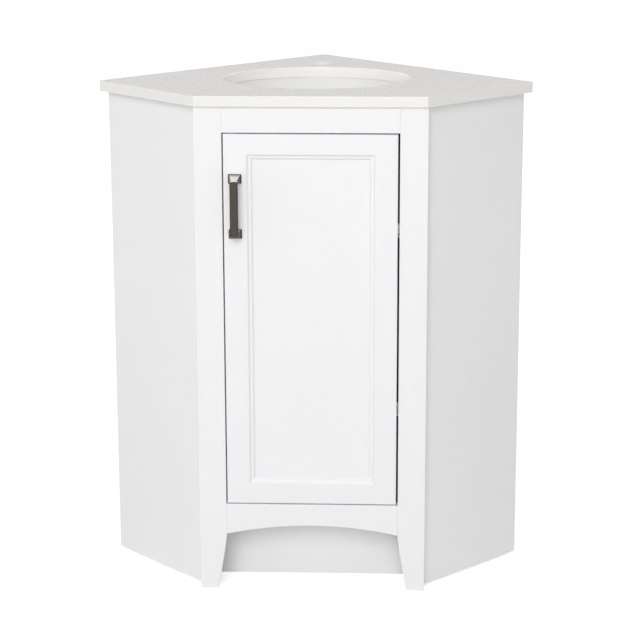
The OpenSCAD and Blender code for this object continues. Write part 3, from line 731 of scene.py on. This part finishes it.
class VANITY_OT_basin(bpy.types.Operator):
    """Turns the oval basin and cuts its drain and overflow"""

    bl_idname = "vanity.basin"
    bl_label = "Basin"

    def execute(self, context):
        sizes = context.scene.vanity_sizes
        rim = sizes.oval_length / 2 + REVEAL
        squash = (sizes.oval_width / 2 + REVEAL) / rim
        centre = Vector((0, FRONT_Y + sizes.oval_setback, TOP_LOW))
        china = glazed_china(context.scene.vanity_finishes.glaze)
        bm = bmesh.new()
        for radius, height in basin_profile(rim, sizes.drain_radius):
            bm.verts.new((radius, height, 0))
        basin = new_object("basin_bowl", bm)
        values = {
            "Segments": DISH_SEGMENTS,
            "Squash": squash,
            "Round": sizes.drain_radius + ROUND_FLOOR,
            "Blend": OVAL_FROM,
            "Centre": centre,
            "Material": china,
        }
        run_tree(basin, turned_tree(), values)
        whole = bmesh.new()
        whole.from_mesh(basin.data)
        bmesh.ops.recalc_face_normals(whole, faces=whole.faces)
        whole.to_mesh(basin.data)
        whole.free()
        for name, shape, operation in (
            ("rib", OVERFLOW_RIB, "UNION"),
            ("channel", OVERFLOW_CHANNEL, "DIFFERENCE"),
        ):
            carve(basin, overflow_tool(name, rim, squash, centre, shape), operation)
        bm = bmesh.new()
        lying = Matrix.Rotation(math.pi / 2, 4, "X")
        for x in HOLES_X:
            middle = centre + Vector((x, -rim * squash + 11 * MM, OVERFLOW_Z))
            size = {"radius1": HOLE_RADIUS, "radius2": HOLE_RADIUS, "depth": HOLE_LENGTH}
            place = Matrix.Translation(middle) @ lying
            bmesh.ops.create_cone(bm, cap_ends=True, segments=32, matrix=place, **size)
        carve(basin, new_object("holes", bm), "DIFFERENCE")
        if len(basin.data.polygons) < LEAST_FACES:
            raise RuntimeError("the basin lost its shape while its holes were cut")
        soften(basin, 40)
        finish_piece(basin, china, "cabinet", "porcelain", "basin")
        return {"FINISHED"}


# ---- Painted boards ----

PAINTED = (
    "face_stile_left",
    "face_stile_right",
    "face_top_rail",
    "face_bottom_rail",
    "side_panel_left",
    "side_panel_right",
    "toe_kick",
)
PRIMED = (
    "nailer_left",
    "nailer_right",
    "back_rail_left",
    "back_rail_right",
    "corner_post",
    "floor_deck",
    "deck_cleat",
    "hinge_strip",
    "stop_strip",
    "corner_braces",
)
DOOR_MEMBERS = ("door_stile_left", "door_stile_right", "door_top_rail", "door_bottom_rail")


def eased_board(node, arris, shortest=0.0):
    """A copy of a board with its long sharp edges sanded round."""
    bm = bmesh.new()
    bm.from_mesh(NODES[node].data)
    bmesh.ops.remove_doubles(bm, verts=bm.verts, dist=1e-6)
    bmesh.ops.dissolve_limit(
        bm, angle_limit=math.radians(0.5), verts=bm.verts, edges=bm.edges, delimit={"SHARP"}
    )
    sharp = [
        e
        for e in bm.edges
        if e.is_manifold
        and e.calc_face_angle() > SHARP
        and e.calc_length() > shortest
    ]
    bmesh.ops.bevel(
        bm, geom=sharp, offset=arris, segments=3, profile=0.5, affect="EDGES", clamp_overlap=False
    )
    return soften(new_object("eased_" + node, bm), 40)


class VANITY_OT_cabinet(bpy.types.Operator):
    """Eases and paints the face frame, sides and inner boards"""

    bl_idname = "vanity.cabinet"
    bl_label = "Cabinet"

    def execute(self, context):
        sizes, finishes = context.scene.vanity_sizes, context.scene.vanity_finishes
        paint, primer = satin_paint(finishes.paint), matt_primer(finishes.inside)
        for node in PAINTED + PRIMED:
            coat = paint if node in PAINTED else primer
            finish_piece(eased_board(node, sizes.arris), coat, "cabinet", "white_paint", node)
        return {"FINISHED"}


class VANITY_OT_door(bpy.types.Operator):
    """Eases the door's stiles and rails, and paints them and the panel"""

    bl_idname = "vanity.door"
    bl_label = "Door"

    def execute(self, context):
        sizes, finishes = context.scene.vanity_sizes, context.scene.vanity_finishes
        paint = satin_paint(finishes.paint, "Satin sprayed enamel on the door")
        for node in DOOR_MEMBERS:
            member = eased_board(node, sizes.arris / 2, 30 * MM)
            finish_piece(member, paint, "door", "white_paint", node)
        coat_node("door_panel", paint)
        return {"FINISHED"}


# ---- Pull ----

BAR_W, BAR_D = 14 * MM, 8 * MM
BAR_EASE = 0.6 * MM  # its ends are drawn in by this
FOOT_W, FOOT_H = 23 * MM, 16 * MM
FOOT_END_W, FOOT_END_H = BAR_W - 3 * MM, 7 * MM
NECK = 2.7 * MM  # depth of a foot's base, where it steps in


def chamfered_bar(width, depth, chamfer):
    """Section of the bar, whose two front arrises are chamfered and lightly rounded."""
    x, y = width / 2, depth / 2
    corners = [(x, chamfer - y), (x, y), (-x, y), (-x, chamfer - y)]
    corners += [(chamfer - x, -y), (x - chamfer, -y)]
    radii = [0.4 * MM, 0.8 * MM, 0.8 * MM, 0.4 * MM, 0.4 * MM, 0.4 * MM]
    return rounded_outline([Vector(p) for p in corners], radii, 3)


def foot_levels(reach, bar_end):
    """(depth from the door, width, height, middle) of the rings along a foot."""
    eased = (FOOT_W - 0.8 * MM, FOOT_H - 0.8 * MM, bar_end)
    full = (FOOT_W, FOOT_H, bar_end)
    wide, tall = FOOT_W - 2 * MM, FOOT_H - 2 * MM
    levels = [(0.0, *eased), (0.4 * MM, *full), (2.2 * MM, *full), (2.6 * MM, *eased)]
    levels.append((NECK, wide, tall, bar_end))
    for i in range(1, 9):
        u = i / 8
        depth, middle = NECK + (reach - NECK) * u, bar_end - (FOOT_END_H / 2) * u
        width, height = wide + (FOOT_END_W - wide) * u**0.8, tall + (FOOT_END_H - tall) * u
        levels.append((depth, width, height, middle))
    return levels


class VANITY_OT_pull(bpy.types.Operator):
    """Builds the bar pull with its two flared feet"""

    bl_idname = "vanity.pull"
    bl_label = "Pull"

    def execute(self, context):
        middle = (PULL_LOW + PULL_HIGH) / 2
        face, front = PULL_HIGH.y, PULL_LOW.y
        bar_end = (PULL_HIGH.z - PULL_LOW.z - FOOT_H) / 2
        bm = bmesh.new()
        # This layer holds each face's share of the painted highlight
        highlight_layer = bm.faces.layers.float.new("painted_highlight")
        solids = []
        for side in (-1, 1):
            rings = []
            for depth, wide, tall, height in foot_levels(face - front - BAR_D + 1.5 * MM, bar_end):
                loop = rounded_rectangle(wide, tall, 0.9 * MM, 4)
                spots = [
                    (middle.x + p.x, face - depth, middle.z + side * (height + p.y)) for p in loop
                ]
                rings.append([bm.verts.new(spot) for spot in spots])
            solids.append(rings)
        plan = chamfered_bar(BAR_W, BAR_D, 2 * MM)
        bar, axis = [], front + BAR_D / 2
        inner = BAR_EASE - bar_end
        for z, inset in ((-bar_end, 0.6), (inner, 0), (bar_end - BAR_EASE, 0), (bar_end, 0.6)):
            shrink = 1 - inset * MM / (BAR_D / 2)
            spots = [(middle.x + p.x * shrink, axis + p.y * shrink, middle.z + z) for p in plan]
            bar.append([bm.verts.new(spot) for spot in spots])
        for rings in (*solids, bar):
            join_rings(bm, rings)
            bm.faces.new(rings[0])
            bm.faces.new(rings[-1])
        bmesh.ops.recalc_face_normals(bm, faces=bm.faces)
        for f in bm.faces:
            depth = face - f.calc_center_median().y
            # Painted highlight on what faces up: a third of it at the neck, rising to all of it 8
            # mm further out
            if f.normal.z > 0.8 and depth > NECK:
                f[highlight_layer] = min(1.0, 0.35 + 0.65 * (depth - NECK) / (8 * MM))
        pull = soften(new_object("pull_bar", bm), 40)
        metal = brushed_dark_nickel(context.scene.vanity_finishes.dark_nickel)
        finish_piece(pull, metal, "door", "dark_nickel", "door_pull")
        return {"FINISHED"}


# ---- Hinges, screws and small parts ----

HINGE_NODES = [
    f"hinge_{part}_{end}"
    for part in ("plate", "arm", "inner_link", "outer_link", "cup")
    for end in ("lower", "upper")
]

# node, body, way the head faces, head radius, head height, shank radius
SCREW_SETS = (
    ("pull_screws", "door", (0, 1, 0), 4.5, 2.2, 1.95),
    ("hinge_cup_screws", "door", (0, 1, 0), 3.2, 1.6, 1.6),
    ("hinge_plate_screws", "cabinet", (-1, 0, 0), 3.5, 2.0, 1.75),
    ("hinge_arm_screws", "cabinet", (-1, 0, 0), 3.4, 2.0, 2.0),
    ("basin_clip_screws", "cabinet", (0, 0, -1), 4.5, 3.0, 2.0),
)


def separate_boxes(node):
    """Lowest and highest corner of each separate solid of a node."""
    bm = bmesh.new()
    bm.from_mesh(NODES[node].data)
    bmesh.ops.remove_doubles(bm, verts=bm.verts, dist=1e-6)
    todo, out = set(bm.verts), []
    while todo:
        stack, seen = [todo.pop()], []
        while stack:
            v = stack.pop()
            seen.append(v.co.copy())
            for e in v.link_edges:
                other = e.other_vert(v)
                if other in todo:
                    todo.remove(other)
                    stack.append(other)
        low = Vector([min(c[k] for c in seen) for k in range(3)])
        high = Vector([max(c[k] for c in seen) for k in range(3)])
        out.append((low, high))
    bm.free()
    return out


def screw_tree():
    """Geometry Nodes tree that sets a cross-recessed screw at each point.

    Each point is the middle of a head's top, and Axis is the way that the heads face.
    """
    inputs = (
        ("Head radius", "Float", 0.004),
        ("Head height", "Float", 0.002),
        ("Shank radius", "Float", 0.002),
        ("Length", "Float", 0.02),
        ("Axis", "Vector", (0.0, 0.0, 1.0)),
    )
    tree, given = start_tree("Cross-recessed screws", inputs)
    radius, height, length = given["Head radius"], given["Head height"], given["Length"]
    # Shares of the head's radius: its crown, and the cross's arms across and along
    crown, arm_w, arm_l = [
        add(tree, MATH, {0: radius, 1: share}, operation="MULTIPLY")
        for share in (0.75, 0.26, 1.15)
    ]
    low = add(tree, MATH, {0: height, 1: -1.0}, operation="MULTIPLY")
    cone = {"Vertices": 28, "Radius Top": crown, "Radius Bottom": radius, "Depth": height}
    head = add(tree, "GeometryNodeMeshCone", cone)
    seat = add(tree, "ShaderNodeCombineXYZ", {2: low})
    head = add(tree, "GeometryNodeTransform", {"Geometry": head, "Translation": seat})
    cut = add(tree, "GeometryNodeMeshBoolean", {"Mesh 1": head}, operation="DIFFERENCE")
    for x, y in ((arm_l, arm_w), (arm_w, arm_l)):
        size = add(tree, "ShaderNodeCombineXYZ", {0: x, 1: y, 2: height})
        arm = add(tree, "GeometryNodeMeshCube", {"Size": size})
        tree.links.new(arm.outputs[0], cut.inputs["Mesh 2"])
    half = {0: length, 1: -0.5, 2: low}
    far = add(tree, MATH, half, operation="MULTIPLY_ADD")
    rod = {"Vertices": 20, "Radius": given["Shank radius"], "Depth": length}
    shank = add(tree, "GeometryNodeMeshCylinder", rod)
    below = add(tree, "ShaderNodeCombineXYZ", {2: far})
    shank = add(tree, "GeometryNodeTransform", {"Geometry": shank, "Translation": below})
    screw = add(tree, "GeometryNodeJoinGeometry", {0: cut})
    tree.links.new(shank.outputs[0], screw.inputs[0])
    turn = add(tree, "FunctionNodeAlignRotationToVector", {"Vector": given["Axis"]}, axis="Z")
    heads = {"Points": given["Geometry"], "Instance": screw, "Rotation": turn}
    placed = add(tree, "GeometryNodeInstanceOnPoints", heads)
    return end_tree(tree, placed, given["Material"])


class VANITY_OT_hardware(bpy.types.Operator):
    """Plates the hinges and clips and sets their screws"""

    bl_idname = "vanity.hardware"
    bl_label = "Hinges and screws"

    def execute(self, context):
        plate = nickel_plate(context.scene.vanity_finishes.nickel)
        for node in [*HINGE_NODES, "basin_clips"]:
            coat_node(node, plate)
        tree = screw_tree()
        for node, body, axis, head_mm, height_mm, shank_mm in SCREW_SETS:
            way = Vector(axis)
            bm = bmesh.new()
            length = 0
            for low, high in separate_boxes(node):
                size = high - low
                bm.verts.new((low + high) / 2 + way * abs(size.dot(way)) / 2)
                length = abs(size.dot(way)) - height_mm * MM
            screws = new_object("cross_" + node, bm)
            values = {
                "Head radius": head_mm * MM,
                "Head height": height_mm * MM,
                "Shank radius": shank_mm * MM,
                "Length": length,
                "Axis": way,
                "Material": plate,
            }
            run_tree(screws, tree, values)
            soften(screws, 30)
            finish_piece(screws, plate, body, "nickel_plate", node)
        return {"FINISHED"}


class VANITY_OT_small_parts(bpy.types.Operator):
    """Finishes the glides and the door's bumpers"""

    bl_idname = "vanity.small_parts"
    bl_label = "Glides and bumpers"

    def execute(self, context):
        coat_node("glides", moulded_nylon())
        coat_node("door_bumpers", cast_polyurethane())
        return {"FINISHED"}


# ---- Gap seals: foam tape, near black as painted shade in the door's side gaps ----

SEAL_HEIGHT = 1.2 * MM
SEAL_MARGIN = 0.2 * MM  # left free beside a tape
STOP_TAPE_EDGE = 3.5 * MM  # inner edge of the stop strip's tape, from the opening's side
HINGE_BREAK = 12.5 * MM  # half of the tape's gap at a hinge


def seal_strip(bm, left, right, face, breaks, clear):
    """Adds D-shaped foam strips up a face, left out within clear of each of the breaks."""
    ends = [DOOR_LOW - 2 * MM]
    for z in sorted(breaks):
        ends += [z - clear, z + clear]
    ends.append(DOOR_HIGH + 2 * MM)
    middle, half = (left + right) / 2, (right - left) / 2
    section = []
    for i in range(11):
        a = math.pi * i / 10
        section.append((middle + half * math.cos(a), face - SEAL_HEIGHT * math.sin(a) ** 0.6))
    for low, high in zip(ends[::2], ends[1::2]):
        rings = [ring(bm, section, z) for z in (low, high)]
        join_rings(bm, rings)
        bm.faces.new(rings[0])
        bm.faces.new(rings[1])


class VANITY_OT_gap_shade_seals(bpy.types.Operator):
    """Lays near-black foam tape on the lip and the stop strip, as painted shade behind the door's
    side gaps
    """

    bl_idname = "vanity.dust_seals"
    bl_label = "Gap shade seals"

    def execute(self, context):
        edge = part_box("face_stile_right")[0].x
        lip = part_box("hinge_strip")[0].x
        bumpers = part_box("door_bumpers")
        face = bumpers[1].y
        radius = (bumpers[1].x - bumpers[0].x) / 2
        hinges = [(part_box(n)[0].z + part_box(n)[1].z) / 2 for n in HINGE_NODES[:2]]
        bm = bmesh.new()
        seal_strip(bm, lip + SEAL_MARGIN, edge - SEAL_MARGIN, face, hinges, HINGE_BREAK)
        stops = [bumpers[0].z + radius, bumpers[1].z - radius]
        left, right = -edge + SEAL_MARGIN, -edge + STOP_TAPE_EDGE
        seal_strip(bm, left, right, face, stops, radius + 1 * MM)
        bmesh.ops.recalc_face_normals(bm, faces=bm.faces)
        gap_shade_strips = soften(new_object("gap_shade_seals", bm), 40)
        # The tape's near-black colour is painted shade in the door's side gaps
        material = gap_shade_foam(context.scene.vanity_finishes.gap_shade_seal)
        gap_shade_strips.data.materials.append(material)
        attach(gap_shade_strips, "cabinet")
        return {"FINISHED"}


# ---- Studio ----

# Name, azimuth, elevation, distance, size, level. Azimuth 0 is in front, 90 to the right
LAMPS = (
    ("Front lamp", -6, 26, 7.0, 3.2, 0.47),
    ("Left fill", -62, 20, 3.0, 1.8, 0.09),
    ("Right fill", 62, 20, 3.0, 1.8, 0.045),
    ("Low fill", 8, 3, 5.0, 2.0, 0.08),
    ("Overhead lamp", 0, 80, 3.2, 2.4, 0.18),
    ("Left back fill", -130, 12, 4.0, 2.0, 0.25),
    ("Right back fill", 130, 12, 4.0, 2.0, 0.25),
)
LAMP_AIM = (0, 0, 0.45)
SKY_LEVEL = 0.22  # light from the backdrop, which shows as 1 where it is seen directly
FLOOR_SIZE, FLOOR_DROP = 20, 0.2 * MM
GLOW_NEAR, GLOW_FAR = (0.9, 0.55), (2.6, 0.9)  # (distance, strength) of the floor's glow

# The photograph's viewpoint, with turns in degrees and the focal length in pixels
CAMERA_PLACE = (0.1559, -3.5932, 1.3721)
CAMERA_YAW, CAMERA_PITCH, CAMERA_ROLL = 2.42, -13.59, 0.14
CAMERA_FOCAL_PX, IMAGE_PX, SENSOR_MM = 1985.9, 640, 36
CAMERA_SHIFT_Y = -0.06


def watts(level, distance):
    """Power of a panel lamp that lights a facing white surface to this level."""
    return level * math.pi**2 * distance**2


def panel_lamp(name, azimuth, elevation, distance, size, level):
    """A square lamp that faces the unit's middle."""
    lamp = bpy.data.lights.new(name, "AREA")
    lamp.shape = "SQUARE"
    lamp.size = size
    lamp.energy = watts(level, distance)
    obj = bpy.data.objects.new(name, lamp)
    bpy.context.scene.collection.objects.link(obj)
    a, e = math.radians(azimuth), math.radians(elevation)
    back = Vector((math.sin(a) * math.cos(e), -math.cos(a) * math.cos(e), math.sin(e)))
    obj.location = Vector(LAMP_AIM) + back * distance
    obj.rotation_mode = "QUATERNION"
    obj.rotation_quaternion = back.to_track_quat("Z", "Y")


def seen_directly(tree):
    """1 for rays from the camera, mirrors and glass, which see the backdrop as white."""
    path = add(tree, "ShaderNodeLightPath").outputs
    seen = {0: path["Is Camera Ray"], 1: path["Is Glossy Ray"]}
    either = add(tree, MATH, seen, operation="MAXIMUM")
    seen = {0: either, 1: path["Is Transmission Ray"]}
    return add(tree, MATH, seen, operation="MAXIMUM")


def light_backdrop(tree):
    """Fills the world's tree: white where it is seen directly, and softly lit elsewhere."""
    levels = {"Value": seen_directly(tree), "To Min": SKY_LEVEL, "To Max": 1.0}
    strength = add(tree, "ShaderNodeMapRange", levels)
    sky = add(tree, "ShaderNodeBackground", {"Color": (1, 1, 1, 1), "Strength": strength})
    add(tree, "ShaderNodeOutputWorld", {"Surface": sky})


def pale_floor(tree):
    """Fills the floor's tree. Its glow whitens the far floor more than the near shadow."""
    matt = add(tree, "ShaderNodeBsdfDiffuse", {"Color": linear("#EEEEEE")})
    spot = add(tree, "ShaderNodeTexCoord").outputs["Object"]
    away = add(tree, "ShaderNodeVectorMath", {0: spot}, operation="LENGTH").outputs["Value"]
    (near, low), (far, high) = GLOW_NEAR, GLOW_FAR
    reach = {"Value": away, "From Min": near, "From Max": far, "To Min": low, "To Max": high}
    glow = {0: seen_directly(tree), 1: add(tree, "ShaderNodeMapRange", reach)}
    glow = add(tree, MATH, glow, operation="MULTIPLY")
    lift = add(tree, "ShaderNodeEmission", {"Color": (1, 1, 1, 1), "Strength": glow})
    both = add(tree, "ShaderNodeAddShader", {0: matt, 1: lift})
    add(tree, "ShaderNodeOutputMaterial", {"Surface": both})


class VANITY_OT_studio(bpy.types.Operator):
    """Sets out the pale floor, the lamps, the backdrop and the camera"""

    bl_idname = "vanity.studio"
    bl_label = "Studio"

    def execute(self, context):
        scene = context.scene
        scene.view_settings.view_transform = "Standard"
        scene.world = bpy.data.worlds.new("Backdrop")
        bm = bmesh.new()
        bmesh.ops.create_grid(bm, x_segments=4, y_segments=4, size=FLOOR_SIZE)
        floor = new_object("floor", bm)
        floor.location.z = -FLOOR_DROP
        material = bpy.data.materials.new("Pale studio floor")
        floor.data.materials.append(material)
        for holder, fill in ((scene.world, light_backdrop), (material, pale_floor)):
            holder.use_nodes = True
            holder.node_tree.nodes.clear()
            fill(holder.node_tree)
        for lamp in LAMPS:
            panel_lamp(*lamp)
        camera = bpy.data.cameras.new("Camera")
        camera.sensor_width = SENSOR_MM
        camera.lens = CAMERA_FOCAL_PX / IMAGE_PX * SENSOR_MM
        camera.shift_y = CAMERA_SHIFT_Y
        camera.clip_end = 100
        view = bpy.data.objects.new("Camera", camera)
        scene.collection.objects.link(view)
        turn = (
            Matrix.Rotation(math.radians(CAMERA_YAW), 4, "Z")
            @ Matrix.Rotation(math.radians(CAMERA_PITCH), 4, "X")
            @ Matrix.Rotation(math.radians(CAMERA_ROLL), 4, "Y")
        )
        aim = turn @ Matrix.Rotation(math.pi / 2, 4, "X")
        view.matrix_world = Matrix.Translation(CAMERA_PLACE) @ aim
        scene.camera = view
        return {"FINISHED"}


# ---- Panel and registration ----

OPERATORS = (
    VANITY_OT_stone_top,
    VANITY_OT_basin,
    VANITY_OT_cabinet,
    VANITY_OT_door,
    VANITY_OT_pull,
    VANITY_OT_hardware,
    VANITY_OT_small_parts,
    VANITY_OT_gap_shade_seals,
    VANITY_OT_studio,
)


class VANITY_PT_panel(bpy.types.Panel):
    """Lists the unit's operators, sizes and colours"""

    bl_idname = "VANITY_PT_panel"
    bl_label = "Corner vanity unit"
    bl_space_type = "VIEW_3D"
    bl_region_type = "UI"
    bl_category = "Vanity"

    def draw(self, context):
        column = self.layout.column()
        for group in (context.scene.vanity_sizes, context.scene.vanity_finishes):
            for name in group.bl_rna.properties.keys():
                if name not in ("rna_type", "name"):
                    column.prop(group, name)
        for operator in OPERATORS:
            column.operator(operator.bl_idname)


CLASSES = (VanityFinishes, VanitySizes, *OPERATORS, VANITY_PT_panel)


def register():
    for cls in CLASSES:
        bpy.utils.register_class(cls)
    bpy.types.Scene.vanity_finishes = bpy.props.PointerProperty(type=VanityFinishes)
    bpy.types.Scene.vanity_sizes = bpy.props.PointerProperty(type=VanitySizes)


def unregister():
    del bpy.types.Scene.vanity_sizes
    del bpy.types.Scene.vanity_finishes
    for cls in reversed(CLASSES):
        bpy.utils.unregister_class(cls)


def main():
    register()
    for operator in OPERATORS:
        group, name = operator.bl_idname.split(".")
        getattr(getattr(bpy.ops, group), name)()


if __name__ == "__main__":
    main()
